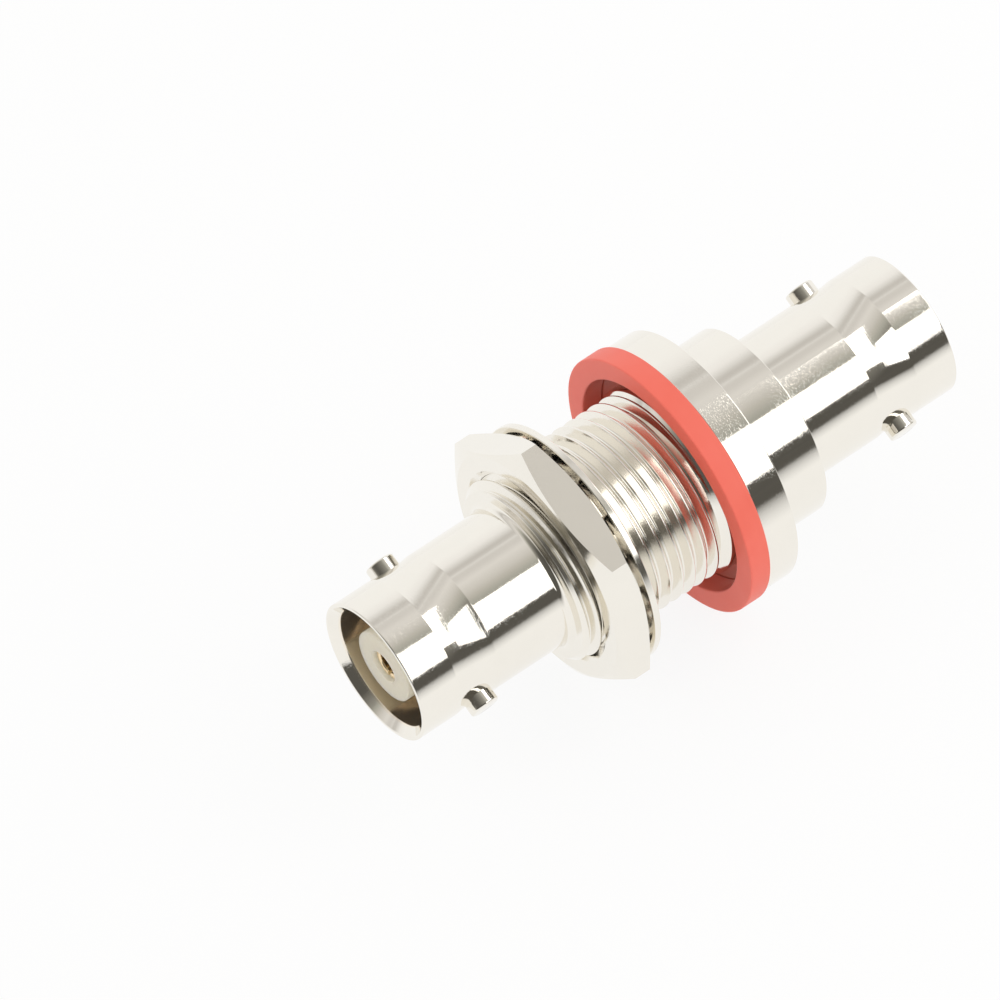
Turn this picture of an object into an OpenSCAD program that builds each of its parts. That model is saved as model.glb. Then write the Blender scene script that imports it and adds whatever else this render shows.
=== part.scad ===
// Coaxial bulkhead connector: a jack at each end of one body, with its panel nut, lock washer and sealing ring.
// The axis lies along X. The origin is on the axis at the flange's panel face, and the threaded side is -X.

/* [Jacks] */
// Outer radius of the two jack barrels
barrel_r = 4.83; // [4.8:0.01:4.85]
// Radius of the cavity that takes the plug
cavity_r = 4.08; // [4.05:0.01:4.1]
// Depth of that cavity from the mouth
cavity_depth = 5.8; // [5.4:0.1:6.2]
// Mouth of the front jack, on the threaded side
front_mouth = -23.45; // [-25:0.05:-22.5]
// Mouth of the rear jack
rear_mouth = 17.9; // [17:0.05:20]
// Width of the lip that the lead-in leaves at a mouth
lip_w = 0.17; // [0.1:0.01:0.3]
// Depth of the lead-in chamfer inside a mouth
lead_in_depth = 0.55; // [0.3:0.05:0.8]
// Edge break outside the lip
edge_break = 0.08; // [0.04:0.01:0.12]

/* [Bayonet lugs] */
// Radius over the lug tips
lug_tip_r = 5.52; // [5.48:0.01:5.54]
// Radius of one lug
lug_r = 0.98; // [0.95:0.01:1.03]
// Distance of the lugs from the mouth
lug_from_mouth = 4.4; // [4.2:0.1:4.6]
// Chamfer round the tip of a lug
lug_chamfer = 0.12; // [0.05:0.01:0.2]
// Depth to which a lug is seated in the barrel's wall
lug_seat_depth = 0.45; // [0.3:0.05:0.6]
// Turn of the pair of lugs above the horizontal
lug_turn = 33; // [0:1:90]
// Start of the turned-down band round the lugs, from the mouth
band_from = 2.8; // [2.6:0.1:3]
// End of the band, from the mouth
band_to = 5.9; // [5.8:0.1:6.2]
// Depth of the band
band_depth = 0.11; // [0.05:0.01:0.15]
// Length of the sloping flank at each end of the band
band_flank = 0.6; // [0.3:0.1:0.8]

/* [Panel thread] */
// Threads along one inch
threads_per_inch = 28; // [28:32]
// Radius over the thread crests
thread_r = 6.33; // [6.3:0.01:6.35]
// Front face of the threaded part
thread_face = -12.05; // [-12.5:0.05:-11.5]
// Radius at which the front chamfer starts
thread_chamfer_r = 5.85; // [5.8:0.01:5.95]
// Plain neck between the thread and the flange
neck_length = 1; // [0.8:0.1:1.4]
// Radius of that neck
neck_r = 6.5; // [6.45:0.01:6.53]
// Size of the turned fillet where the front barrel meets the threaded part
root_fillet = 0.42; // [0.3:0.02:0.5]

/* [Flange and collar] */
// Radius of the flange
flange_r = 8.8; // [8.7:0.05:9]
// Thickness of the flange
flange_w = 2.3; // [2:0.1:2.6]
// Radius of the collar behind the flange
collar_r = 6.53; // [6.4:0.01:6.6]
// Back end of the collar
collar_end = 6.35; // [6:0.05:6.6]

/* [Inside the body] */
// Thickness of the floor behind each cavity
floor_w = 1; // [0.8:0.1:1.2]
// Radius of the rear jack's shank, pressed into the collar
shank_r = 5.2; // [5.1:0.05:5.4]
// Inner end of that shank
shank_start = 1.3; // [1:0.1:1.6]
// Chamfer that leads the shank in
shank_chamfer = 0.3; // [0.2:0.05:0.4]

/* [Insulators and contact] */
// Radius of an insulator's nose
nose_r = 2.45; // [2.4:0.01:2.46]
// Depth of the nose's face below the mouth
nose_below_mouth = 0.65; // [0.4:0.05:0.9]
// Radius of an insulator's body
insulator_r = 3.37; // [3.3:0.01:3.38]
// Outer radius of the contact
contact_r = 1.05; // [1:0.01:1.06]
// Radius of its sockets
socket_r = 0.7; // [0.69:0.01:0.71]
// Depth of each socket
socket_depth = 5; // [4.5:0.1:5.5]
// Width of the slot that splits each socket's end
slot_w = 0.24; // [0.2:0.02:0.26]
// Size of the chamfer that leads a pin into a socket
socket_lead_in = 0.18; // [0.1:0.02:0.24]
// Depth of the contact's end below the face of the nose
contact_recess = 0.3; // [0.2:0.05:0.5]
// Radius of the shoulder that the two insulators hold
shoulder_r = 1.6; // [1.4:0.1:2]
// Half the width of that shoulder
shoulder_half = 0.8; // [0.6:0.1:1]

/* [Hex nut] */
// Distance across the nut's flats
nut_across_flats = 15.9; // [15.8:0.1:16]
// Thickness of the nut
nut_w = 2.4; // [2.3:0.1:2.8]
// Slope of the turned chamfer that trims the nut's corners
corner_slope = 25; // [20:1:30]
// Inset of each face's flat ring from the flats
nut_face_inset = 0.15; // [0.1:0.05:0.3]
// Chamfer at each end of the nut's bore
nut_bore_chamfer = 0.35; // [0.2:0.05:0.4]
// Front face of the nut
nut_face = -11; // [-11.2:0.1:-10.6]
// Running clearance between the nut's bore and the thread crests
nut_clearance = 0.05; // [0.03:0.01:0.08]

/* [Lock washer] */
// Outer radius of the lock washer
washer_r = 8.3; // [8.2:0.05:8.4]
// Width of its ring
washer_ring_w = 0.95; // [0.85:0.05:1]
// Thickness of its sheet
washer_t = 0.45; // [0.4:0.05:0.5]
// Number of inner teeth
tooth_count = 16; // [14:18]
// Width of one tooth
tooth_w = 1.3; // [1.1:0.1:1.4]
// Twist of each tooth out of the sheet
tooth_twist = 18; // [14:1:22]
// Clearance between the teeth's tips and the thread crests
tooth_clearance = 0.22; // [0.18:0.01:0.3]
// Gap between the nut and the twisted teeth
washer_gap = 0.03; // [0.02:0.01:0.05]

/* [Sealing ring] */
// Outer radius of the sealing ring
seal_r = 9; // [8.8:0.1:9.2]
// Inner radius of the sealing ring
seal_bore_r = 7.5; // [7.3:0.1:7.6]
// Thickness of the sealing ring
seal_w = 1.5; // [1.3:0.1:1.7]

/* [Hidden] */
$fn = 96;

// Thread form, from the pitch. A ridge takes two flanks and the flat crest between them.
pitch = 25.4 / threads_per_inch;
thread_depth = 0.6134 * pitch;
root_r = thread_r - thread_depth;
crest_flat = pitch / 8;
flank_w = thread_depth * tan(30);
ridge_w = crest_flat + 2 * flank_w;

// Places along the thread: the first crest, the first whole ridge and the foot of the neck
first_crest = thread_face + thread_r - thread_chamfer_r;
first_ridge = first_crest + pitch - flank_w;
neck_foot = -neck_length - (neck_r - root_r) / 2;
ridge_count = 1 + floor((neck_foot - ridge_w - first_ridge) / pitch);

// Steps inside the body
throat_r = nose_r + 0.05;
bore_r = insulator_r + 0.03;
contact_bore_r = contact_r + 0.05;
shoulder_bore_r = shoulder_r + 0.02;
front_floor_back = front_mouth + cavity_depth + floor_w;
rear_floor_back = rear_mouth - cavity_depth - floor_w;
lug_seat_r = barrel_r - lug_seat_depth;
lug_shank = lug_tip_r - lug_seat_r - lug_chamfer;

// Nut: the turned chamfer is drawn a little past the corners, and the bore a little past the faces
over = 0.1;
nut_back = nut_face + nut_w;
nut_corner_r = nut_across_flats / 2 / cos(30);
nut_bore_r = thread_r + nut_clearance;
nut_face_r = nut_across_flats / 2 - nut_face_inset;
corner_drop = (nut_corner_r + over - nut_face_r) * tan(corner_slope);

// Washer: the teeth start inside its ring and stop clear of the thread
ring_bore_r = washer_r - washer_ring_w;
tooth_root_r = ring_bore_r + 0.25;
tooth_tip_r = thread_r + tooth_clearance;
washer_half = tooth_w / 2 * sin(tooth_twist) + washer_t / 2 * cos(tooth_twist);
washer_x = nut_back + washer_gap + washer_half;

// Outline of a barrel from its mouth, as [radius, distance from the mouth]
barrel_outline = [
    [barrel_r - edge_break - lip_w, 0],
    [barrel_r - edge_break, 0],
    [barrel_r, edge_break],
    [barrel_r, band_from],
    [barrel_r - band_depth, band_from + band_flank],
    [barrel_r - band_depth, band_to - band_flank],
    [barrel_r, band_to]];

// Outline of the cavity from its floor back to the mouth
cavity_outline = [
    [throat_r, cavity_depth + floor_w],
    [throat_r, cavity_depth],
    [cavity_r, cavity_depth],
    [cavity_r, lead_in_depth]];

// One ridge of the thread from x on, starting and ending at the root
function ridge(x) = [
    [root_r, x],
    [thread_r, x + flank_w],
    [thread_r, x + flank_w + crest_flat],
    [root_r, x + ridge_w]];

// Outline as [radius, place] moved from distances inside a mouth to places on the axis
function from_front(outline) = [for (p = outline) [p.x, front_mouth + p.y]];
function from_rear(outline) = [for (p = outline) [p.x, rear_mouth - p.y]];

// A solid of revolution about the X axis, from its [radius, place] outline
module turned(outline) {
    rotate([0, 90, 0]) rotate_extrude() polygon(outline);
}

// A round bar along X
module bar(r, from, to) {
    translate([from, 0, 0]) rotate([0, 90, 0]) cylinder(r = r, h = to - from);
}

// The two studs that a plug's bayonet slots ride on
module lugs(x) {
    for (side = [0, 180]) {
        rotate([lug_turn + side, 0, 0]) translate([x, lug_seat_r, 0]) rotate([-90, 0, 0]) {
            cylinder(r = lug_r, h = lug_shank);
            translate([0, 0, lug_shank]) cylinder(r1 = lug_r, r2 = lug_r - lug_chamfer, h = lug_chamfer);
        }
    }
}

// Turned body: front barrel, thread, neck, flange and collar, bored through for the insulators
module main_body() {
    color("gainsboro") {
        turned(concat(
            from_front(barrel_outline),
            [for (a = [0:15:90]) [
                barrel_r + root_fillet * (1 - cos(a)),
                thread_face - root_fillet * (1 - sin(a))]],
            [[thread_chamfer_r, thread_face], [thread_r, first_crest]],
            [[thread_r, first_crest + crest_flat], [root_r, first_crest + crest_flat + flank_w]],
            [for (i = [0:ridge_count - 1]) each ridge(first_ridge + i * pitch)],
            [[root_r, neck_foot], [neck_r, -neck_length], [neck_r, 0]],
            [[flange_r - edge_break, 0], [flange_r, edge_break]],
            [[flange_r, flange_w - edge_break], [flange_r - edge_break, flange_w]],
            [[collar_r, flange_w], [collar_r, collar_end - edge_break], [collar_r - edge_break, collar_end]],
            [[shank_r, collar_end], [shank_r, shank_start], [bore_r, shank_start], [bore_r, front_floor_back]],
            from_front(cavity_outline)));
        lugs(front_mouth + lug_from_mouth);
    }
}

// Second barrel, pressed into the collar by its shank
module rear_jack() {
    color("gainsboro") {
        turned(concat(
            from_rear(barrel_outline),
            [[barrel_r, collar_end], [shank_r, collar_end], [shank_r, shank_start + shank_chamfer]],
            [[shank_r - shank_chamfer, shank_start], [bore_r, shank_start], [bore_r, rear_floor_back]],
            from_rear(cavity_outline)));
        lugs(rear_mouth - lug_from_mouth);
    }
}

// Insulator drawn for the front jack: a nose through the floor of the cavity, and a body behind it
module insulator(face, floor_back) {
    color("floralwhite") turned([
        [contact_bore_r, face],
        [nose_r, face],
        [nose_r, floor_back],
        [insulator_r, floor_back],
        [insulator_r, 0],
        [shoulder_bore_r, 0],
        [shoulder_bore_r, -shoulder_half],
        [contact_bore_r, -shoulder_half]]);
}

module front_insulator() {
    insulator(front_mouth + nose_below_mouth, front_floor_back);
}

module rear_insulator() {
    mirror([1, 0, 0]) insulator(nose_below_mouth - rear_mouth, -rear_floor_back);
}

// Contact with a split socket at each end and a shoulder in the middle
module centre_contact() {
    front_end = front_mouth + nose_below_mouth + contact_recess;
    rear_end = rear_mouth - nose_below_mouth - contact_recess;
    color("gold") difference() {
        union() {
            bar(contact_r, front_end, rear_end);
            bar(shoulder_r, -shoulder_half, shoulder_half);
        }
        socket(front_end, 1);
        socket(rear_end, -1);
    }
}

// Hollow of one socket, from its mouth at x inwards
module socket(x, inwards) {
    translate([x, 0, 0]) scale([inwards, 1, 1]) {
        bar(socket_r, -1, socket_depth);
        turned([[0, -0.01], [socket_r + socket_lead_in, -0.01], [socket_r, socket_lead_in], [0, socket_lead_in]]);
        translate([-1, -slot_w / 2, -contact_r - 1]) cube([socket_depth + 0.5, slot_w, 2 * contact_r + 2]);
    }
}

// Flat ring that the flange squeezes against the panel
module sealing_ring() {
    color("tomato") difference() {
        bar(seal_r, -seal_w, 0);
        bar(seal_bore_r, -seal_w - 1, 1);
    }
}

// Washer with inner teeth, each twisted out of the sheet so that its corners bite
module lock_washer() {
    color("silver") translate([washer_x, 0, 0]) {
        difference() {
            bar(washer_r, -washer_t / 2, washer_t / 2);
            bar(ring_bore_r, -washer_t, washer_t);
        }
        for (i = [0:tooth_count - 1]) {
            rotate([i * 360 / tooth_count, 0, 0])
                translate([0, 0, (tooth_root_r + tooth_tip_r) / 2]) rotate([0, 0, tooth_twist])
                    cube([washer_t, tooth_w, tooth_root_r - tooth_tip_r], center = true);
        }
    }
}

// Thin hexagonal nut, its corners turned back at both faces
module hex_nut() {
    color("gainsboro") difference() {
        intersection() {
            translate([nut_face, 0, 0]) rotate([0, 90, 0]) cylinder(r = nut_corner_r, h = nut_w, $fn = 6);
            turned([
                [0, nut_face],
                [nut_face_r, nut_face],
                [nut_corner_r + over, nut_face + corner_drop],
                [nut_corner_r + over, nut_back - corner_drop],
                [nut_face_r, nut_back],
                [0, nut_back]]);
        }
        turned([
            [0, nut_face - over],
            [nut_bore_r + nut_bore_chamfer + over, nut_face - over],
            [nut_bore_r, nut_face + nut_bore_chamfer],
            [nut_bore_r, nut_back - nut_bore_chamfer],
            [nut_bore_r + nut_bore_chamfer + over, nut_back + over],
            [0, nut_back + over]]);
    }
}

main_body();
rear_jack();
front_insulator();
rear_insulator();
centre_contact();
sealing_ring();
lock_washer();
hex_nut();
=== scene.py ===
# %% [markdown]
# A coaxial bulkhead connector, built piece by piece
#
# The real object is a turned brass body, plated with nickel, with a bayonet jack at each end. A hex nut,
# a toothed lock washer and a red sealing ring hold it in a panel. The solids come packed from the CAD
# model. They already have the right sizes and the right movements, so this lesson keeps every place they
# give and makes finer pieces that stand for them: a true helical thread, rounded edges and real finishes.

import math

import bmesh
import bpy
from mathutils import Matrix, Vector


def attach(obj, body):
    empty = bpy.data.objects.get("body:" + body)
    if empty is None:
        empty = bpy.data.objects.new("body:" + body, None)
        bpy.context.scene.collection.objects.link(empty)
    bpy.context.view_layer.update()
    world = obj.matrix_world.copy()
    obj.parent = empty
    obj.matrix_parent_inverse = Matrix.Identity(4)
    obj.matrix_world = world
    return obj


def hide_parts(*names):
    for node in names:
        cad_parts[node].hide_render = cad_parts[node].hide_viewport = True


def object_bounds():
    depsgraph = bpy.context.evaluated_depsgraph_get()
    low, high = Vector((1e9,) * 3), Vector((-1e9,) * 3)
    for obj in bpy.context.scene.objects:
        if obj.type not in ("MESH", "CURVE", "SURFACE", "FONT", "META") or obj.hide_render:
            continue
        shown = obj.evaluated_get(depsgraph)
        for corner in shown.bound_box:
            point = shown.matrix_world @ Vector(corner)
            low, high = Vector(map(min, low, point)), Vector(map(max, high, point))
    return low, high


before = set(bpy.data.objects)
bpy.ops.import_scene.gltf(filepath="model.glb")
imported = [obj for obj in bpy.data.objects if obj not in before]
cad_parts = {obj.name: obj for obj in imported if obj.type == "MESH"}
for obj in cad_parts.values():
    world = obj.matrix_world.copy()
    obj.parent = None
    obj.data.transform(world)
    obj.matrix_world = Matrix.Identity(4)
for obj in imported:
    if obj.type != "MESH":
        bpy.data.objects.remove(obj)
cad_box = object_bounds()
scene = bpy.context.scene

# %% [markdown]
# The camera
#
# A long lens stands far away and looks down at the part at about 44 degrees, rolled a little, so the axis
# runs up to the right. A camera could be aimed by angles or by a tracking constraint, but with a roll
# both are hard to read. So its right and its up are given as directions, and its way back from the part
# follows from them. Together the three are the columns of its rotation.

# %% Camera
MM = 0.001
CAMERA_PLACE = (-353.70, -630.64, 690.88)
CAMERA_RIGHT = (0.78611, -0.59740, -0.15859)
CAMERA_UP = (0.51330, 0.48804, 0.70594)
LENS = 591.35
FARTHEST = 10

right = Vector(CAMERA_RIGHT).normalized()
back = right.cross(Vector(CAMERA_UP)).normalized()
turn = Matrix((right, back.cross(right), back)).transposed()

camera = bpy.data.objects.new("camera", bpy.data.cameras.new("camera"))
camera.data.lens = LENS
camera.data.clip_end = FARTHEST
camera.matrix_world = Matrix.Translation(Vector(CAMERA_PLACE) * MM) @ turn.to_4x4()
scene.collection.objects.link(camera)
scene.camera = camera
scene.view_settings.view_transform = "Standard"
print("camera stands", round(Vector(CAMERA_PLACE).length), "mm from the origin")

# %% [markdown]
# Arithmetic on shader sockets
#
# A material is a network of nodes. It could be wired node by node, but that soon becomes hard to follow.
# Written as arithmetic it reads like a formula, so one small class wraps a node's output. Adding,
# subtracting or multiplying such outputs adds Math nodes, and its method node() adds any other node.

# %% Shader arithmetic
class Shade:
    """An output of a node. Plain arithmetic on it adds Math nodes to the same tree."""

    def __init__(self, tree, socket=None):
        self.tree = tree
        self.socket = socket

    def node(self, kind, inputs=None, output=0, stops=None, **settings):
        made = self.tree.nodes.new(kind)
        for name, value in settings.items():
            setattr(made, name, value)
        if stops:
            ramp = made.color_ramp.elements
            while len(ramp) < len(stops):
                ramp.new(1)
            for element, (place, colour) in zip(ramp, stops):
                element.position = place
                element.color = (*colour, 1)
        for name, value in (inputs or {}).items():
            if isinstance(value, Shade):
                self.tree.links.new(value.socket, made.inputs[name])
            else:
                made.inputs[name].default_value = value
        return Shade(self.tree, made.outputs[output]) if made.outputs else None

    def math(self, operation, *values):
        return self.node("ShaderNodeMath", dict(enumerate(values)), operation=operation)

    def __add__(self, other):
        return self.math("ADD", self, other)

    def __sub__(self, other):
        return self.math("SUBTRACT", self, other)

    def __rsub__(self, other):
        return self.math("SUBTRACT", other, self)

    def __mul__(self, other):
        return self.math("MULTIPLY", self, other)

    __radd__ = __add__
    __rmul__ = __mul__

    def clamped(self, low, high):
        """This value, brought from low..high to 0..1."""
        values = {"Value": self, "From Min": low, "From Max": high}
        return self.node("ShaderNodeMapRange", values, clamp=True)

    def mix(self, first, second):
        """The colour first where this value is 0, and second where it is 1."""
        values = {0: self, 6: first, 7: second}
        return self.node("ShaderNodeMix", values, 2, data_type="RGBA")


print("sockets can be added, subtracted and multiplied")

# %% [markdown]
# The studio
#
# Polished nickel has hardly a colour of its own: what shows is the room. The room here is a pale tent
# with a grey ceiling and an open, dark side behind the camera. It could be a picture all round, but every
# main surface of the part is turned about the X axis, so a ramp of paints round that axis does it. A
# ray's place on the ramp is its angle: straight down is 0, the front horizon 0.25, the ceiling 0.5 and
# the far side 0.75. The ceiling hangs askew, which slants its grey zones over the shallow bands of the
# barrels. A pale wall on the left lights the matt pieces only. The camera itself sees plain white.

# %% Room
DARK = (0.10, 0.095, 0.085)
ROOM = [
    (0.00, DARK),
    (0.275, DARK),
    (0.38, (0.30, 0.29, 0.26)),
    (0.40, (0.42, 0.42, 0.38)),
    (0.425, (0.54, 0.52, 0.48)),
    (0.45, (0.66, 0.64, 0.61)),
    (0.49, (0.79, 0.77, 0.75)),
    (0.515, (0.69, 0.67, 0.65)),
    (0.530, (0.69, 0.67, 0.65)),
    (0.538, (0.80, 0.79, 0.78)),
    (0.546, (0.64, 0.62, 0.60)),
    (0.56, (0.60, 0.58, 0.56)),
    (0.58, (0.79, 0.78, 0.77)),
    (0.60, (0.94, 0.93, 0.93)),
    (0.64, (1, 1, 1)),
]
FRONT_HORIZON = 0.25
CEILING_SLANT = 0.15
MIDDLE_RAY = 0.34
LEFT_WALL = (-0.1, -0.4)
LEFT_PAINT = (0.97, 0.96, 0.94)
WHITE = (1, 1, 1, 1)

world = bpy.data.worlds.new("studio")
world.use_nodes = True
world.node_tree.nodes.clear()
scene.world = world

room = Shade(world.node_tree)
ray = room.node("ShaderNodeTexCoord", output="Generated")
along = {name: room.node("ShaderNodeSeparateXYZ", {0: ray}, name) for name in "XYZ"}
height = room.math("ARCTAN2", along["Z"], 0 - along["Y"]) * (1 / math.tau)
height = height + (along["X"] - MIDDLE_RAY) * CEILING_SLANT + FRONT_HORIZON
paint = room.node("ShaderNodeValToRGB", {0: room.math("FRACT", height)}, stops=ROOM)
matt = 1 - room.node("ShaderNodeLightPath", output="Is Glossy Ray")
paint = (along["X"].clamped(*LEFT_WALL) * matt).mix(paint, (*LEFT_PAINT, 1))
seen = room.node("ShaderNodeLightPath", output="Is Camera Ray")
light = room.node("ShaderNodeBackground", {"Color": seen.mix(paint, WHITE), "Strength": 1})
room.node("ShaderNodeOutputWorld", {"Surface": light})
print("the room has", len(ROOM), "stops from the floor round to the far side")

# %% [markdown]
# The two softboxes
#
# Two lamps with white fronts stand before the part, and the nickel shows each as a white patch with hard
# edges. The front one is turned aside and gives the straight stripe along both barrels. The other stands
# further to the right and higher, with a dark gap between them, so only surfaces that lean to the right
# catch it. Glowing planes would do as well, but area lamps make less noise. Such a lamp spreads its power
# over its surface, so the power is radiance times area times pi.

# %% Softboxes
BOX_RADIANCE = 1.7


def softbox(name, distance, side, angle, half_angle, width, yaw):
    """A lamp seen under angle above the front horizon, its right end turned away by yaw."""
    angle = math.radians(angle)
    yaw = math.radians(yaw)
    height = 2 * distance * math.tan(math.radians(half_angle))
    data = bpy.data.lights.new(name, "AREA")
    data.shape = "RECTANGLE"
    data.size = width
    data.size_y = height
    data.energy = BOX_RADIANCE * width * height * math.pi
    towards = Vector((0, -math.cos(angle), math.sin(angle)))
    aside = Vector((1, 0, 0))
    long_edge = aside * math.cos(yaw) + towards * math.sin(yaw)
    away = towards * math.cos(yaw) - aside * math.sin(yaw)
    facing = Matrix((long_edge, away.cross(long_edge), away)).transposed()
    lamp = bpy.data.objects.new(name, data)
    lamp.matrix_world = Matrix.Translation(towards * distance + aside * side) @ facing.to_4x4()
    scene.collection.objects.link(lamp)
    print(name, round(width, 2), "by", round(height, 2), "m,", round(data.energy, 3), "W")


softbox("front softbox", distance=0.461, side=0.1385, angle=29.7, half_angle=22, width=0.30, yaw=41)
softbox("side softbox", distance=0.45, side=0.387, angle=51, half_angle=30, width=0.346, yaw=0)

# %% [markdown]
# The table
#
# The part lies on a white table, which the camera sees nearly as bright as the background, with a faint
# shadow. A plain white floor would come out grey, and a glowing one would lose the shadow. So its
# material mixes the two: most of it glows for the camera and for reflections, and the rest takes light
# and shadow as paper does. In the nickel the table fades into the dark side of the room towards the
# front.

# %% Table paint
SHADOW_SHARE = 0.12
FADE_FROM = -70 * MM
FADE_TO = -24 * MM

floor_paint = bpy.data.materials.new("table")
floor_paint.use_nodes = True
floor_paint.node_tree.nodes.clear()
table = Shade(floor_paint.node_tree)
place = table.node("ShaderNodeTexCoord", output="Object")
near = table.node("ShaderNodeSeparateXYZ", {0: place}, "Y").clamped(FADE_FROM, FADE_TO)
glossy = table.node("ShaderNodeLightPath", output="Is Glossy Ray")
paint = (glossy * (1 - near)).mix(WHITE, (*DARK, 1))
glow = table.node("ShaderNodeEmission", {"Color": paint, "Strength": 1})
paper = table.node("ShaderNodeBsdfDiffuse", {"Color": paint})
glowing = table.node("ShaderNodeLightPath", output="Is Camera Ray") + glossy
surface = table.node("ShaderNodeMixShader", {0: glowing * (1 - SHADOW_SHARE), 1: paper, 2: glow})
table.node("ShaderNodeOutputMaterial", {"Surface": surface})
print("the table glows by", 1 - SHADOW_SHARE)

# %% [markdown]
# The table's top
#
# The top is one flat grid, large enough to be seen in every surface that faces down. It could be any
# plane, but its height has to come from the part: it lies just under the lowest point of the solids,
# which is a corner of the nut. It is scenery and not a piece.

# %% Table top
FLOOR_DROP = 0.02 * MM
FLOOR_SIZE = 1.2

bm = bmesh.new()
bmesh.ops.create_grid(bm, x_segments=4, y_segments=4, size=FLOOR_SIZE / 2)
lowest = Vector((0, 0, cad_box[0].z - FLOOR_DROP))
bmesh.ops.translate(bm, vec=lowest, verts=bm.verts)
floor_mesh = bpy.data.meshes.new("table")
bm.to_mesh(floor_mesh)
bm.free()
floor_mesh.materials.append(floor_paint)
floor = bpy.data.objects.new("table", floor_mesh)
scene.collection.objects.link(floor)
print("table at", round(lowest.z / MM, 2), "mm")

# %% [markdown]
# Patterns for worked surfaces
#
# A machined and handled surface is never quite even. Its marks are too fine to be modelled, so noise
# stands for them, and Bump nodes tilt the light by it. A photograph of worn metal could be laid over the
# pieces, but noise needs no unwrapping and has no seams. All patterns read the place on the object in
# metres, so they have the same size on every piece.

# %% Pattern helpers
MICRON = 0.001 * MM


def new_material(name):
    """An empty material, and the socket that gives the place on the object."""
    made = bpy.data.materials.new(name)
    made.use_nodes = True
    made.node_tree.nodes.clear()
    return made, Shade(made.node_tree).node("ShaderNodeTexCoord", output="Object")


def noise(place, scale, detail):
    """Cloudy values. A larger scale makes them finer, and more detail roughens them."""
    return place.node("ShaderNodeTexNoise", {"Vector": place, "Scale": scale, "Detail": detail})


def stretched(place, scale, angles=(0, 0, 0)):
    return place.node("ShaderNodeMapping", {"Vector": place, "Rotation": angles, "Scale": scale})


def bump(height, depth, strength=1, over=None):
    """A normal tilted by height, laid over another bump where one is given."""
    values = {"Strength": strength, "Distance": depth, "Height": height}
    if over is not None:
        values["Normal"] = over
    return height.node("ShaderNodeBump", values)


def set_surface(place, sockets):
    surface = place.node("ShaderNodeBsdfPrincipled", sockets)
    place.node("ShaderNodeOutputMaterial", {"Surface": surface})


print("noise and bumps are ready")

# %% [markdown]
# Marks on turned and plated metal
#
# The tool leaves fine rings round the axis, which only need noise in one dimension, along X. Handling
# leaves hair scratches. They could be drawn one by one, but cloudy noise that is drawn out to thirteen
# times its width and turned askew looks the same. Small flecks in the plate are the peaks of a third
# noise, and they come in patches, so a slow noise fades them in and out.

# %% Metal marks
RING_SCALE = 16000
HAIR_SCALE = (3000, 40000, 40000)
HAIR_ANGLES = (0.3, 0.5, 0.2)
FLECK_SCALE = (14000, 7000, 7000)
FLECK_PEAKS = (0.54, 0.78)
PATCH_SCALE = 260
PATCH_RANGE = (0.4, 0.65)
BETWEEN_PATCHES = 0.2


def turning_rings(place):
    x = place.node("ShaderNodeSeparateXYZ", {0: place}, "X")
    values = {"W": x * RING_SCALE, "Scale": 1, "Detail": 3}
    return place.node("ShaderNodeTexNoise", values, noise_dimensions="1D")


def hair_scratches(place):
    return noise(stretched(place, HAIR_SCALE, HAIR_ANGLES), scale=1, detail=4)


def plating_flecks(place):
    peaks = noise(stretched(place, FLECK_SCALE), scale=1, detail=3).clamped(*FLECK_PEAKS)
    patches = noise(place, PATCH_SCALE, detail=1).clamped(*PATCH_RANGE)
    return peaks * (patches * (1 - BETWEEN_PATCHES) + BETWEEN_PATCHES)


print("rings", round(1 / RING_SCALE / MM, 3), "mm apart")

# %% [markdown]
# Polished nickel
#
# Nickel plate is a warm white mirror, hardly rougher in one place than in another. Inside the jacks the
# plate is thin, and the walls show the brass: warmer, a little duller. A second material could be given
# to those faces, but the radius already tells where they are, so a mask made from it mixes the two. The
# thread, the nut and the washer are less polished than the body, and each has its own depths of marks.

# %% Nickel
NICKEL = (0.905, 0.872, 0.80)
CLOUD_SCALE = 700
CLOUD_SHADE = 0.97
CLOUD_ROUGHER = 0.03
BORE_TINT = (0.92, 0.84, 0.72)
BORE_SHINES = 4.2 * MM
BORE_DULL = 4.1 * MM
BORE_LESS_METAL = 0.05
BORE_ROUGHER = 0.03


def in_a_jack(place):
    """0 on the outside, and 1 on the walls of the jacks."""
    across = place.node("ShaderNodeVectorMath", {0: place, 1: (0, 1, 1)}, operation="MULTIPLY")
    radius = place.node("ShaderNodeVectorMath", {0: across}, "Value", operation="LENGTH")
    return radius.clamped(BORE_SHINES, BORE_DULL)


def nickel(name, roughness, rings, scratches, flecks):
    made, place = new_material(name)
    clouds = noise(place, CLOUD_SCALE, detail=3)
    bore = in_a_jack(place)
    tint = clouds.mix((*[c * CLOUD_SHADE for c in NICKEL], 1), (*NICKEL, 1))
    normal = bump(turning_rings(place), rings * MICRON)
    normal = bump(hair_scratches(place), scratches * MICRON, over=normal)
    normal = bump(plating_flecks(place), flecks * MICRON, over=normal)
    set_surface(place, {
        "Base Color": bore.mix(tint, (*BORE_TINT, 1)),
        "Metallic": 1 - bore * BORE_LESS_METAL,
        "Roughness": bore * BORE_ROUGHER + (clouds * CLOUD_ROUGHER + roughness),
        "Normal": normal})
    return made


body_nickel = nickel("polished nickel", roughness=0.05, rings=0.2, scratches=0.3, flecks=2)
thread_nickel = nickel("thread nickel", roughness=0.13, rings=0.4, scratches=0.5, flecks=2)
nut_nickel = nickel("nut nickel", roughness=0.08, rings=0.3, scratches=0.3, flecks=0.5)
washer_nickel = nickel("washer nickel", roughness=0.12, rings=0.3, scratches=0.5, flecks=0.5)
print("four nickel finishes")

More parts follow.
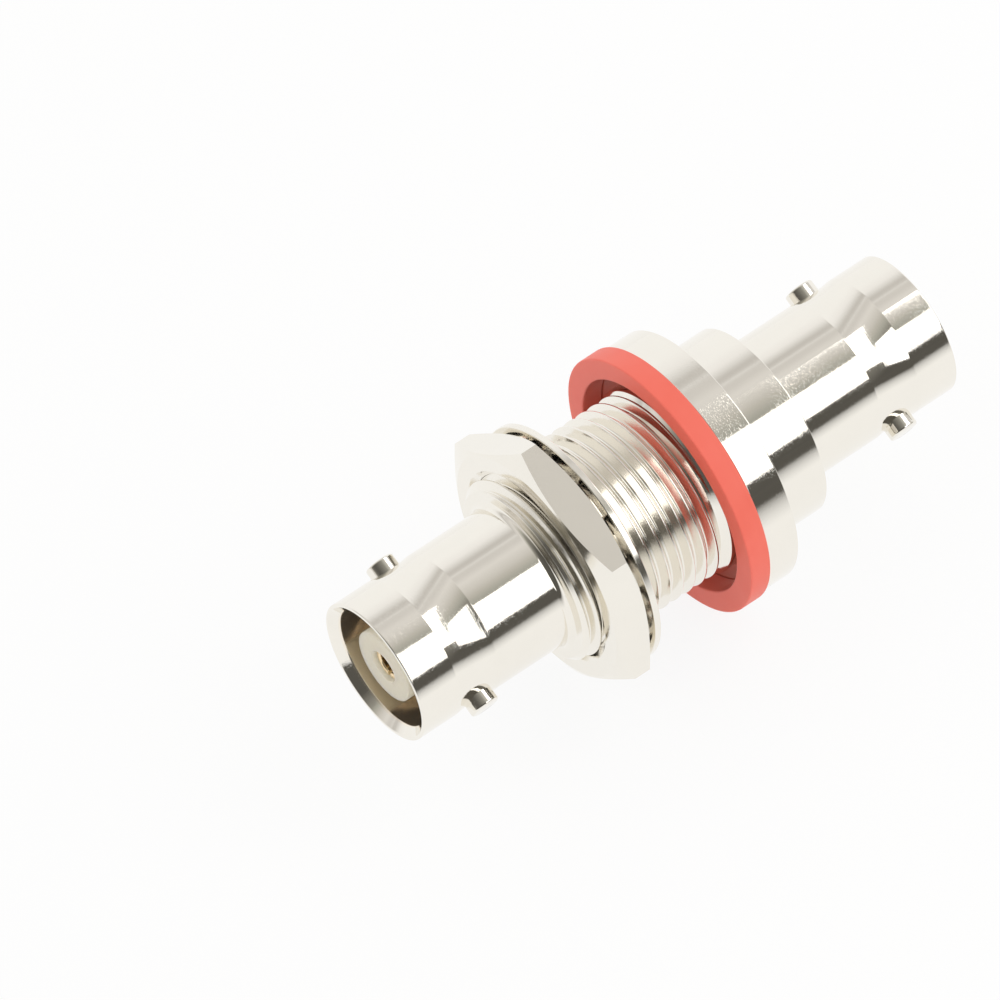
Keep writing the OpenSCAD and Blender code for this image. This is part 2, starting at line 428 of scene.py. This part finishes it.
# %% [markdown]
# The insulators' plastic
#
# The insulators are a cream fluoroplastic, turned to a silky face. A painted surface would look hard.
# This plastic lets light in a little way, as wax does, so all of its colour goes through subsurface
# scattering, and the light that enters the face glows out at the side of the nose.

# %% Cream plastic
cream, place = new_material("cream insulator")
grain = noise(place, scale=2500, detail=4)
set_surface(place, {
    "Base Color": grain.mix((0.81, 0.70, 0.51, 1), (0.88, 0.78, 0.60, 1)),
    "Roughness": grain * 0.1 + 0.36,
    "IOR": 1.38,
    "Normal": bump(grain, depth=4 * MICRON, strength=0.6),
    "Subsurface Weight": 1,
    "Subsurface Radius": (1, 1, 1),
    "Subsurface Scale": 4 * MM})
print("cream plastic")

# %% [markdown]
# Gold plate
#
# The contact is brass under a thin layer of gold, for a sure contact. It is a metal as the nickel is,
# only warmer and less polished. It is too small for rings and scratches to show, so one fine grain does
# for its tint, its roughness and its bump.

# %% Gold
gold, place = new_material("gold plate")
grain = noise(place, scale=5000, detail=4)
set_surface(place, {
    "Base Color": grain.mix((0.90, 0.71, 0.44, 1), (0.97, 0.80, 0.54, 1)),
    "Metallic": 1,
    "Roughness": grain * 0.08 + 0.16,
    "Normal": bump(grain, depth=2 * MICRON, strength=0.5)})
print("gold plate")

# %% [markdown]
# Red rubber
#
# The sealing ring is soft rubber, red all through, with the fine pores of a moulding. One noise can't be
# both slow and fine, so there are two: clouds shift the red a little, and pores set the sheen and the
# bump.

# %% Rubber
rubber, place = new_material("red rubber")
pores = noise(place, scale=9000, detail=3)
clouds = noise(place, scale=400, detail=2)
set_surface(place, {
    "Base Color": clouds.mix((0.96, 0.15, 0.10, 1), (1.0, 0.20, 0.145, 1)),
    "Roughness": pores * 0.12 + 0.42,
    "IOR": 1.5,
    "Normal": bump(pores, depth=6 * MICRON, strength=0.7)})
print("red rubber")

# %% [markdown]
# From an outline to a turned piece
#
# Nearly everything here comes off a lathe, so one helper does what the lathe does. It takes half of the
# section as points of place, radius and rounding, rounds each corner with a vertex bevel, and spins the
# line all the way round the X axis. Cylinders and cones could be put together instead, but then every
# joint would need its own repair. Lengths are in millimetres until the piece is finished.
#
# Smooth shading blends the normals at each point. On a long face beside a small rounding this bends the
# mirror image, so every long edge gets two holding points near its ends, and the bend stays in that short
# strip.

# %% Turning
AROUND = 192
WELD = 0.00001
FINE_STEPS = 4
LARGE_STEPS = 12
LARGE_ROUNDING = 0.2
HOLD = 0.02
LONG_EDGE = 8 * HOLD


def outline(points, closed=True):
    """The points, as place, radius and corner rounding, joined by edges, with their corners rounded."""
    bm = bmesh.new()
    corners = [bm.verts.new((x, r, 0)) for x, r, rounding in points]
    following = corners[1:] + corners[:1] if closed else corners[1:]
    for first, second in zip(corners, following):
        bm.edges.new((first, second))
    for size in sorted({point[2] for point in points} - {0}):
        chosen = [corner for corner, point in zip(corners, points) if point[2] == size]
        steps = FINE_STEPS if size < LARGE_ROUNDING else LARGE_STEPS
        bmesh.ops.bevel(
            bm, geom=chosen, offset=size, offset_type="OFFSET", segments=steps, profile=0.5,
            affect="VERTICES", material=-1)
    for edge in [edge for edge in bm.edges if edge.calc_length() > LONG_EDGE]:
        first, last = edge.verts
        length = edge.calc_length()
        near = bmesh.utils.edge_split(edge, first, HOLD / length)[1]
        rest = bm.edges.get((near, last))
        bmesh.utils.edge_split(rest, last, HOLD / (length - HOLD))
    return bm


def turned(points):
    """A closed solid of revolution about X."""
    bm = outline(points)
    bmesh.ops.spin(
        bm, geom=bm.verts[:] + bm.edges[:], cent=(0, 0, 0), axis=(1, 0, 0), dvec=(0, 0, 0),
        angle=math.tau, steps=AROUND, use_merge=True)
    bmesh.ops.remove_doubles(bm, verts=bm.verts, dist=WELD)
    bmesh.ops.recalc_face_normals(bm, faces=bm.faces)
    return bm


print("turning in", AROUND, "steps")

# %% [markdown]
# Cutting and joining
#
# Threads, slots and teeth need one solid to be cut by another, or joined to it. The faces could be cut by
# hand, but a Boolean modifier does it for any shape, and its result is read back into a bmesh. It leaves
# a few edges of nearly no length, which are dissolved, so that the mesh has no empty faces.

# %% Booleans
NO_LENGTH = 0.0001


def combined(first, second, operation):
    """The Boolean of two closed meshes. Both are used up."""
    holders = []
    for part in (first, second):
        mesh = bpy.data.meshes.new("blank")
        part.to_mesh(mesh)
        part.free()
        holders.append(bpy.data.objects.new("blank", mesh))
        scene.collection.objects.link(holders[-1])
    tool = holders[0].modifiers.new("cut", "BOOLEAN")
    tool.operation = operation
    tool.solver = "MANIFOLD"
    tool.object = holders[1]
    made = bmesh.new()
    made.from_object(holders[0], bpy.context.evaluated_depsgraph_get())
    bmesh.ops.dissolve_degenerate(made, dist=NO_LENGTH, edges=made.edges)
    for holder in holders:
        bpy.data.objects.remove(holder)
    return made


print("solids can be cut and joined")

# %% [markdown]
# Finishing a piece
#
# A finished piece is brought to metres, shaded smooth and given its material. It rides on the body that
# it moves with, and stands for solids of the frame, which then hide. Sharp edges could be marked one by
# one, but one angle finds them all. The steps of a small rounding are 22.5 degrees, so the crease lies
# just above.

# %% Pieces
CREASE = math.radians(24)


def add_piece(name, bm, material, body, slot, *nodes):
    """Makes the finished piece in metres, and says what it rides on and which solids it stands for."""
    for face in bm.faces:
        face.smooth = True
    for edge in bm.edges:
        edge.smooth = len(edge.link_faces) == 2 and edge.calc_face_angle(0) < CREASE
    bmesh.ops.scale(bm, vec=(MM, MM, MM), verts=bm.verts)
    mesh = bpy.data.meshes.new(name)
    bm.to_mesh(mesh)
    bm.free()
    mesh.materials.append(material)
    piece = bpy.data.objects.new(name, mesh)
    scene.collection.objects.link(piece)
    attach(piece, body)
    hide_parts(*nodes)
    print(name, len(mesh.polygons), "faces")


print("edges sharper than", round(math.degrees(CREASE)), "degrees stay sharp")

# %% [markdown]
# The jack barrels
#
# Both ends have the same barrel: a mouth with a narrow lip and a lead-in chamfer, a cavity for the plug,
# and a shallow turned band in which the two bayonet lugs stand. The band is a very flat arc with crisp
# rims, and it bends and breaks the white stripe that crosses it. Two cones would be simpler, but would
# break the stripe once more in the middle, so a short loop sets points on the arc. The outline is drawn
# once, by its distance from the mouth, and then placed at either end.

# %% Barrel outlines
BARREL_R = 4.83
CAVITY_R = 4.08
CAVITY_DEPTH = 5.8
FLOOR_W = 1
THROAT_R = 2.5
LIP_R = 4.6
LEAD_IN = 0.55
BAND_MIDDLE = 4.35
BAND_HALF = 1.5
BAND_DEPTH = 0.11
BAND_STEPS = 16
FRONT_MOUTH = -23.45
REAR_MOUTH = 17.9
EDGE = 0.07

barrel_outside = [(0, LIP_R, 0.02), (0, BARREL_R, EDGE)]
for count in range(BAND_STEPS + 1):
    along_band = 2 * count / BAND_STEPS - 1
    depth = BAND_DEPTH * (1 - along_band ** 2)
    barrel_outside.append((BAND_MIDDLE + BAND_HALF * along_band, BARREL_R - depth, 0))
barrel_inside = [
    (CAVITY_DEPTH + FLOOR_W, THROAT_R, 0),
    (CAVITY_DEPTH, THROAT_R, 0.1),
    (CAVITY_DEPTH, CAVITY_R, 0.15),
    (LEAD_IN, CAVITY_R, 0.06),
]


def from_front(points):
    return [(FRONT_MOUTH + far, r, rounding) for far, r, rounding in points]


def from_rear(points):
    return [(REAR_MOUTH - far, r, rounding) for far, r, rounding in points]


print("barrels from", FRONT_MOUTH, "to", REAR_MOUTH, "mm")

# %% [markdown]
# The body
#
# One turned piece carries the front barrel, the plain neck, the flange and the collar. It could take the
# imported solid's faces, but an outline of its own gives even rings of faces, and those mirror the room
# well. Where the thread goes, the body is a plain core, a little smaller than the thread's root, and the
# thread is put over it.

# %% Main body
THREAD_FACE = -12.05
BARREL_FILLET = 0.42
CORE_R = 5.5
SLEEVE_BORE_R = 5.3
SEAT_DEPTH = 0.05
SEAT_SLOPE = 0.02
NECK_R = 6.5
NECK_LENGTH = 1
FLANGE_R = 8.8
FLANGE_W = 2.3
COLLAR_R = 6.53
COLLAR_END = 6.35
SHANK_R = 5.2
SHANK_START = 1.3
BORE_R = 3.4

body_outline = from_front(barrel_outside) + [
    (THREAD_FACE, BARREL_R, BARREL_FILLET),
    (THREAD_FACE, SLEEVE_BORE_R, 0),
    (THREAD_FACE + SEAT_DEPTH, SLEEVE_BORE_R + SEAT_SLOPE, 0),
    (THREAD_FACE + SEAT_DEPTH, CORE_R, 0),
    (-NECK_LENGTH - NECK_R + CORE_R, CORE_R, 0),
    (-NECK_LENGTH, NECK_R, 0.06),
    (0, NECK_R, 0.05),
    (0, FLANGE_R, EDGE),
    (FLANGE_W, FLANGE_R, EDGE),
    (FLANGE_W, COLLAR_R, 0.05),
    (COLLAR_END, COLLAR_R, EDGE),
    (COLLAR_END, SHANK_R, 0),
    (SHANK_START, SHANK_R, 0),
    (SHANK_START, BORE_R, 0),
    (FRONT_MOUTH + CAVITY_DEPTH + FLOOR_W, BORE_R, 0),
] + from_front(barrel_inside)
add_piece("body", turned(body_outline), body_nickel, "connector", "nickel_body", "main_body")

# %% [markdown]
# The form of the thread
#
# A thread is one small outline that climbs as it turns. The spin operator makes one turn of it when each
# step also moves along the axis, and copies of that turn make the rest. A Screw modifier could do the
# same, but the ends have to be trimmed by two planes and closed, and that is done in the mesh.

# %% Threaded rod
INCH = 25.4
TURNS_PER_INCH = 28
PITCH = INCH / TURNS_PER_INCH
THREAD_R = 6.33
DEPTH_SHARE = 0.6134
ROOT_R = THREAD_R - DEPTH_SHARE * PITCH
CREST_W = PITCH / 8
FLANK_ANGLE = math.radians(30)
RIDGE_W = CREST_W + 2 * (THREAD_R - ROOT_R) * math.tan(FLANK_ANGLE)
ROOT_ROUNDING = 0.05
CREST_ROUNDING = 0.025
CHAMFER_R = 5.85
FIRST_CREST = THREAD_FACE + THREAD_R - CHAMFER_R + CREST_W / 2
SPARE_TURNS = 1.5
STITCH = 0.0005


def threaded_rod(grow, start, end):
    """A rod with the panel thread on it, its surface moved out by grow."""
    bm = outline([
        (-PITCH / 2, ROOT_R + grow, 0),
        (-RIDGE_W / 2, ROOT_R + grow, ROOT_ROUNDING),
        (-CREST_W / 2, THREAD_R + grow, CREST_ROUNDING),
        (CREST_W / 2, THREAD_R + grow, CREST_ROUNDING),
        (RIDGE_W / 2, ROOT_R + grow, ROOT_ROUNDING),
        (PITCH / 2, ROOT_R + grow, 0)], closed=False)
    first = FIRST_CREST + PITCH * math.floor((start - FIRST_CREST) / PITCH - SPARE_TURNS)
    turns = math.ceil((end - first) / PITCH + SPARE_TURNS)
    bmesh.ops.translate(bm, vec=(first, 0, 0), verts=bm.verts)
    bmesh.ops.spin(
        bm, geom=bm.verts[:] + bm.edges[:], cent=(0, 0, 0), axis=(1, 0, 0),
        dvec=(PITCH / AROUND, 0, 0), angle=math.tau, steps=AROUND, use_merge=False)
    one_turn = bm.verts[:] + bm.edges[:] + bm.faces[:]
    for count in range(1, turns):
        copy = bmesh.ops.duplicate(bm, geom=one_turn)["geom"]
        moved = [part for part in copy if isinstance(part, bmesh.types.BMVert)]
        bmesh.ops.translate(bm, vec=(PITCH * count, 0, 0), verts=moved)
    bmesh.ops.remove_doubles(bm, verts=bm.verts, dist=STITCH)
    for place, side in ((start, -1), (end, 1)):
        everything = bm.verts[:] + bm.edges[:] + bm.faces[:]
        bmesh.ops.bisect_plane(
            bm, geom=everything, dist=WELD, plane_co=(place, 0, 0), plane_no=(side, 0, 0),
            clear_outer=True)
    rim = [edge for edge in bm.edges if edge.is_boundary]
    bmesh.ops.holes_fill(bm, edges=rim)
    bmesh.ops.recalc_face_normals(bm, faces=bm.faces)
    return bm


print("thread of", round(PITCH, 3), "mm pitch,", round(THREAD_R - ROOT_R, 3), "mm deep")

# %% [markdown]
# The panel thread
#
# A die cuts a thread only where there is metal, so the rod is made too long and then kept only where a
# blank is. The blank is a sleeve over the body's core with the front chamfer on it. A thread faded out by
# hand would never meet the chamfer so exactly.

# %% Panel thread
BLANK_OVER = 0.3
ROD_OVER = 0.4
THREAD_RELIEF = 0.25
THREAD_END = -NECK_LENGTH - THREAD_RELIEF

blank = turned([
    (THREAD_FACE, SLEEVE_BORE_R, 0),
    (THREAD_FACE, CHAMFER_R, 0.03),
    (THREAD_FACE + THREAD_R + BLANK_OVER - CHAMFER_R, THREAD_R + BLANK_OVER, 0),
    (THREAD_END, THREAD_R + BLANK_OVER, 0),
    (THREAD_END, SLEEVE_BORE_R, 0)])
thread = combined(threaded_rod(0, THREAD_FACE - ROD_OVER, THREAD_END + ROD_OVER), blank, "INTERSECT")
add_piece("panel_thread", thread, thread_nickel, "connector", "nickel_body", "main_body")

# %% [markdown]
# The rear jack
#
# The second barrel is a piece of its own, pressed into the collar by a plain shank. It could be one with
# the body here, but then the fine line where it enters the collar would have to be drawn. As a separate
# turned piece it makes that line by itself.

# %% Rear jack
rear_outline = from_rear(barrel_outside) + [
    (COLLAR_END, BARREL_R, 0.05),
    (COLLAR_END, SHANK_R, 0),
    (SHANK_START, SHANK_R, 0.3),
    (SHANK_START, BORE_R, 0),
    (REAR_MOUTH - CAVITY_DEPTH - FLOOR_W, BORE_R, 0),
] + from_rear(barrel_inside)
add_piece("rear_barrel", turned(rear_outline), body_nickel, "connector", "nickel_body", "rear_jack")

# %% [markdown]
# The bayonet lugs
#
# Each barrel has two round studs across it, on which the plug's bayonet slots ride. A stud is a short
# cylinder with a rounded rim at its tip, seated in the wall. A mirrored copy would be inside out, so a
# spin by half a turn makes its pair. Its side reflects the room too, so a ring cut just below the rim
# holds the shading there, as the holding points do elsewhere.

# %% Lugs
LUG_R = 0.98
LUG_SIDES = 64
LUG_TIP_R = 5.52
LUG_SEAT_R = 4.38
LUG_FROM_MOUTH = 4.4
LUG_TURN = 33
LUG_EDGE = 0.12


def lug_pair(x):
    bm = bmesh.new()
    bmesh.ops.create_cone(
        bm, cap_ends=True, segments=LUG_SIDES, radius1=LUG_R, radius2=LUG_R,
        depth=LUG_TIP_R - LUG_SEAT_R)
    rim = [edge for edge in bm.edges if edge.verts[0].co.z > 0 and edge.verts[1].co.z > 0]
    bmesh.ops.bevel(
        bm, geom=rim, offset=LUG_EDGE, offset_type="OFFSET", segments=FINE_STEPS, profile=0.5,
        affect="EDGES", material=-1)
    below_rim = (LUG_TIP_R - LUG_SEAT_R) / 2 - LUG_EDGE - HOLD
    bmesh.ops.bisect_plane(
        bm, geom=bm.verts[:] + bm.edges[:] + bm.faces[:], dist=WELD, plane_co=(0, 0, below_rim),
        plane_no=(0, 0, 1))
    bmesh.ops.translate(bm, vec=(x, 0, (LUG_TIP_R + LUG_SEAT_R) / 2), verts=bm.verts)
    swing = Matrix.Rotation(math.radians(LUG_TURN - 90), 3, "X")
    bmesh.ops.rotate(bm, cent=(0, 0, 0), matrix=swing, verts=bm.verts)
    bmesh.ops.spin(
        bm, geom=bm.verts[:] + bm.edges[:] + bm.faces[:], cent=(0, 0, 0), axis=(1, 0, 0),
        dvec=(0, 0, 0), angle=math.pi, steps=1, use_duplicate=True)
    return bm


for name, x, node in (
        ("front_lugs", FRONT_MOUTH + LUG_FROM_MOUTH, "main_body"),
        ("rear_lugs", REAR_MOUTH - LUG_FROM_MOUTH, "rear_jack")):
    add_piece(name, lug_pair(x), body_nickel, "connector", "nickel_body", node)

# %% [markdown]
# The insulators
#
# A cream nose stands in each mouth, round the contact. Behind the floor of the cavity it widens, so it
# can't be pulled out. The two insulators meet in the middle and hold the contact's shoulder between them.
# A disc in each mouth would look the same, but the whole shape costs only a few more points in the
# outline.

# %% Insulators
NOSE_R = 2.45
NOSE_BELOW = 0.65
INSULATOR_R = 3.37
CONTACT_BORE_R = 1.1
SHOULDER_BORE_R = 1.62
SHOULDER_HALF = 0.8


def insulator(face, floor_back):
    return turned([
        (face, CONTACT_BORE_R, 0.06),
        (face, NOSE_R, 0.1),
        (floor_back, NOSE_R, 0),
        (floor_back, INSULATOR_R, 0.05),
        (0, INSULATOR_R, 0.05),
        (0, SHOULDER_BORE_R, 0),
        (math.copysign(SHOULDER_HALF, face), SHOULDER_BORE_R, 0),
        (math.copysign(SHOULDER_HALF, face), CONTACT_BORE_R, 0)])


for name, mouth, side in (("front_insulator", FRONT_MOUTH, 1), ("rear_insulator", REAR_MOUTH, -1)):
    made = insulator(mouth + side * NOSE_BELOW, mouth + side * (CAVITY_DEPTH + FLOOR_W))
    add_piece(name + "_plastic", made, cream, "connector", "insulator", name)

# %% [markdown]
# The centre contact
#
# One gold bar runs through, with a split socket at each end that grips the plug's pin. The sockets could
# be made of two bent leaves each, but the real one is turned and then sawn, and that is the shorter way
# here too: a thin blade cuts the slot across each end of the turned bar.

# %% Contact
CONTACT_R = 1.05
SOCKET_R = 0.7
SOCKET_DEPTH = 5
SLOT_W = 0.24
BLADE_OUT = 0.5
CONTACT_RECESS = 0.3
SHOULDER_R = 1.6
front_end = FRONT_MOUTH + NOSE_BELOW + CONTACT_RECESS
rear_end = REAR_MOUTH - NOSE_BELOW - CONTACT_RECESS

contact = turned([
    (front_end + SOCKET_DEPTH, 0, 0),
    (front_end + SOCKET_DEPTH, SOCKET_R, 0),
    (front_end, SOCKET_R, 0.12),
    (front_end, CONTACT_R, 0.08),
    (-SHOULDER_HALF, CONTACT_R, 0),
    (-SHOULDER_HALF, SHOULDER_R, 0.03),
    (SHOULDER_HALF, SHOULDER_R, 0.03),
    (SHOULDER_HALF, CONTACT_R, 0),
    (rear_end, CONTACT_R, 0.08),
    (rear_end, SOCKET_R, 0.12),
    (rear_end - SOCKET_DEPTH, SOCKET_R, 0),
    (rear_end - SOCKET_DEPTH, 0, 0)])
for end, inwards in ((front_end, 1), (rear_end, -1)):
    blade = bmesh.new()
    bmesh.ops.create_cube(blade, size=1)
    bmesh.ops.scale(blade, vec=(SOCKET_DEPTH, SLOT_W, 4 * CONTACT_R), verts=blade.verts)
    middle = end + inwards * (SOCKET_DEPTH / 2 - BLADE_OUT)
    bmesh.ops.translate(blade, vec=(middle, 0, 0), verts=blade.verts)
    contact = combined(contact, blade, "DIFFERENCE")
add_piece("gold_socket_contact", contact, gold, "connector", "gold_contact", "centre_contact")

# %% [markdown]
# The sealing ring
#
# A flat rubber ring lies against the front of the flange, and the flange squeezes it on the panel. A
# torus would be a round ring, and this one is punched flat, so it is turned from four corners, all a
# little soft.

# %% Sealing ring
SEAL_R = 8.995
SEAL_BORE_R = 7.5
SEAL_W = 1.5
SEAL_EDGE = 0.1
ring = turned([
    (-SEAL_W, SEAL_BORE_R, SEAL_EDGE),
    (-SEAL_W, SEAL_R, SEAL_EDGE),
    (0, SEAL_R, SEAL_EDGE),
    (0, SEAL_BORE_R, SEAL_EDGE)])
add_piece("rubber_ring", ring, rubber, "connector", "red_seal", "sealing_ring")

# %% [markdown]
# A tooth of the lock washer
#
# The washer is a thin stamped ring with sixteen inner teeth. The stamping tool twists each tooth, so that
# its corners bite into the nut and the panel. A bar set at an angle would only touch the ring by its
# corners. So a tooth here is a bar cut into slices across its length. Its root lies flat in the ring, and
# from the ring's bore inwards each slice is turned a little further than the one before, up to the full
# twist. Spun copies make the other fifteen.

# %% Washer teeth
RING_BORE_R = 7.35
TOOTH_COUNT = 16
TOOTH_T = 0.44
TOOTH_W = 1.3
TOOTH_EDGE = 0.04
TOOTH_TWIST = 18
TWIST_LENGTH = 0.4
TOOTH_ROOT_R = 7.6
TOOTH_TIP_R = 6.55
SLICES = 8

tooth_length = TOOTH_ROOT_R - TOOTH_TIP_R
tooth_middle = (TOOTH_ROOT_R + TOOTH_TIP_R) / 2
tooth = bmesh.new()
bmesh.ops.create_cube(tooth, size=1)
bmesh.ops.scale(tooth, vec=(TOOTH_T, TOOTH_W, tooth_length), verts=tooth.verts)
bmesh.ops.bevel(
    tooth, geom=tooth.edges[:], offset=TOOTH_EDGE, offset_type="OFFSET", segments=2, profile=0.5,
    affect="EDGES", material=-1)
for count in range(1, SLICES):
    bmesh.ops.bisect_plane(
        tooth, geom=tooth.verts[:] + tooth.edges[:] + tooth.faces[:], dist=WELD,
        plane_co=(0, 0, tooth_length * (count / SLICES - 0.5)), plane_no=(0, 0, 1))
for level in sorted({round(vert.co.z, 4) for vert in tooth.verts}):
    inside_bore = max(0, RING_BORE_R - level - tooth_middle)
    share = min(1, inside_bore / TWIST_LENGTH)
    twist = Matrix.Rotation(math.radians(TOOTH_TWIST) * share, 3, "Z")
    on_level = [vert for vert in tooth.verts if round(vert.co.z, 4) == level]
    bmesh.ops.rotate(tooth, cent=(0, 0, 0), matrix=twist, verts=on_level)
bmesh.ops.translate(tooth, vec=(0, 0, tooth_middle), verts=tooth.verts)
bmesh.ops.spin(
    tooth, geom=tooth.verts[:] + tooth.edges[:] + tooth.faces[:], cent=(0, 0, 0), axis=(1, 0, 0),
    dvec=(0, 0, 0), angle=math.tau * (1 - 1 / TOOTH_COUNT), steps=TOOTH_COUNT - 1, use_duplicate=True)
print(TOOTH_COUNT, "teeth with", len(tooth.faces), "faces")

# %% [markdown]
# The lock washer
#
# The ring is turned, and the teeth are joined to it, so that the washer is one solid with nothing hidden
# inside. They could just overlap, but a printed or measured mesh should have one skin. The join leaves
# faces with many corners across the curved bore, and those are split into triangles that follow it.

# %% Lock washer
WASHER_R = 8.3
WASHER_T = 0.45
NUT_BACK = -8.6
BITE_GAP = 0.03
washer_half = (
    TOOTH_W / 2 * math.sin(math.radians(TOOTH_TWIST)) + WASHER_T / 2 * math.cos(math.radians(TOOTH_TWIST)))
WASHER_X = NUT_BACK + BITE_GAP + washer_half

washer = turned([
    (-WASHER_T / 2, RING_BORE_R, 0.04),
    (-WASHER_T / 2, WASHER_R, 0.06),
    (WASHER_T / 2, WASHER_R, 0.06),
    (WASHER_T / 2, RING_BORE_R, 0.04)])
washer = combined(washer, tooth, "UNION")
wide = [face for face in washer.faces if len(face.verts) > 4]
bmesh.ops.triangulate(washer, faces=wide, quad_method="BEAUTY", ngon_method="BEAUTY")
bmesh.ops.translate(washer, vec=(WASHER_X, 0, 0), verts=washer.verts)
add_piece("toothed_washer", washer, washer_nickel, "washer", "nickel_washer", "lock_washer")

# %% [markdown]
# The nut's outside
#
# The nut starts as a slice of hexagonal bar. On the lathe both faces are turned back to a cone at the
# corners, which leaves the curved edge that every nut shows. A bevel on the corners would be straight, so
# the bar is cut here as it is there: what it has in common with a turned double cone stays.

# %% Nut blank
NUT_FLATS = 15.9
NUT_W = 2.4
NUT_FACE = NUT_BACK - NUT_W
FACE_INSET = 0.15
NUT_FACE_R = NUT_FLATS / 2 - FACE_INSET
CORNER_SLOPE = math.radians(25)
CORNER_WELD = 0.001
BEYOND = 0.1
corner_r = NUT_FLATS / 2 / math.cos(math.radians(30))
cone_r = corner_r + BEYOND
cone_drop = (cone_r - NUT_FACE_R) * math.tan(CORNER_SLOPE)

nut = bmesh.new()
bmesh.ops.create_cone(nut, cap_ends=True, segments=6, radius1=corner_r, radius2=corner_r, depth=NUT_W)
for axis in "ZY":
    quarter = Matrix.Rotation(math.radians(90), 3, axis)
    bmesh.ops.rotate(nut, cent=(0, 0, 0), matrix=quarter, verts=nut.verts)
bmesh.ops.translate(nut, vec=(NUT_FACE + NUT_W / 2, 0, 0), verts=nut.verts)
cone = turned([
    (NUT_FACE, 0, 0),
    (NUT_FACE, NUT_FACE_R, 0),
    (NUT_FACE + cone_drop, cone_r, 0),
    (NUT_BACK - cone_drop, cone_r, 0),
    (NUT_BACK, NUT_FACE_R, 0),
    (NUT_BACK, 0, 0)])
nut = combined(nut, cone, "INTERSECT")
bmesh.ops.remove_doubles(nut, verts=nut.verts, dist=CORNER_WELD)
print("nut blank", round(2 * corner_r, 2), "mm over the corners")

# %% [markdown]
# The nut's thread
#
# The bore is drilled and chamfered first, and the thread is then cut by the same rod as the body's, a
# hair larger. A plain bore would look the same from outside while the nut is on. But this one is in step
# with the body's thread, so the two stay in mesh as the nut travels, and it still looks right when it
# comes off.

# %% Nut
THREAD_PLAY = 0.05
NUT_MINOR_R = 5.88
NUT_BORE_R = THREAD_R + THREAD_PLAY
NUT_CHAMFER = 0.35
TAP_OVER = 1

hole = turned([
    (NUT_FACE - BEYOND, 0, 0),
    (NUT_FACE - BEYOND, NUT_BORE_R + NUT_CHAMFER + BEYOND, 0),
    (NUT_FACE + NUT_CHAMFER + NUT_BORE_R - NUT_MINOR_R, NUT_MINOR_R, 0),
    (NUT_BACK - NUT_CHAMFER - NUT_BORE_R + NUT_MINOR_R, NUT_MINOR_R, 0),
    (NUT_BACK + BEYOND, NUT_BORE_R + NUT_CHAMFER + BEYOND, 0),
    (NUT_BACK + BEYOND, 0, 0)])
nut = combined(nut, hole, "DIFFERENCE")
tap = threaded_rod(THREAD_PLAY, NUT_FACE - TAP_OVER, NUT_BACK + TAP_OVER)
nut = combined(nut, tap, "DIFFERENCE")
add_piece("panel_nut", nut, nut_nickel, "nut", "nickel_nut", "hex_nut")
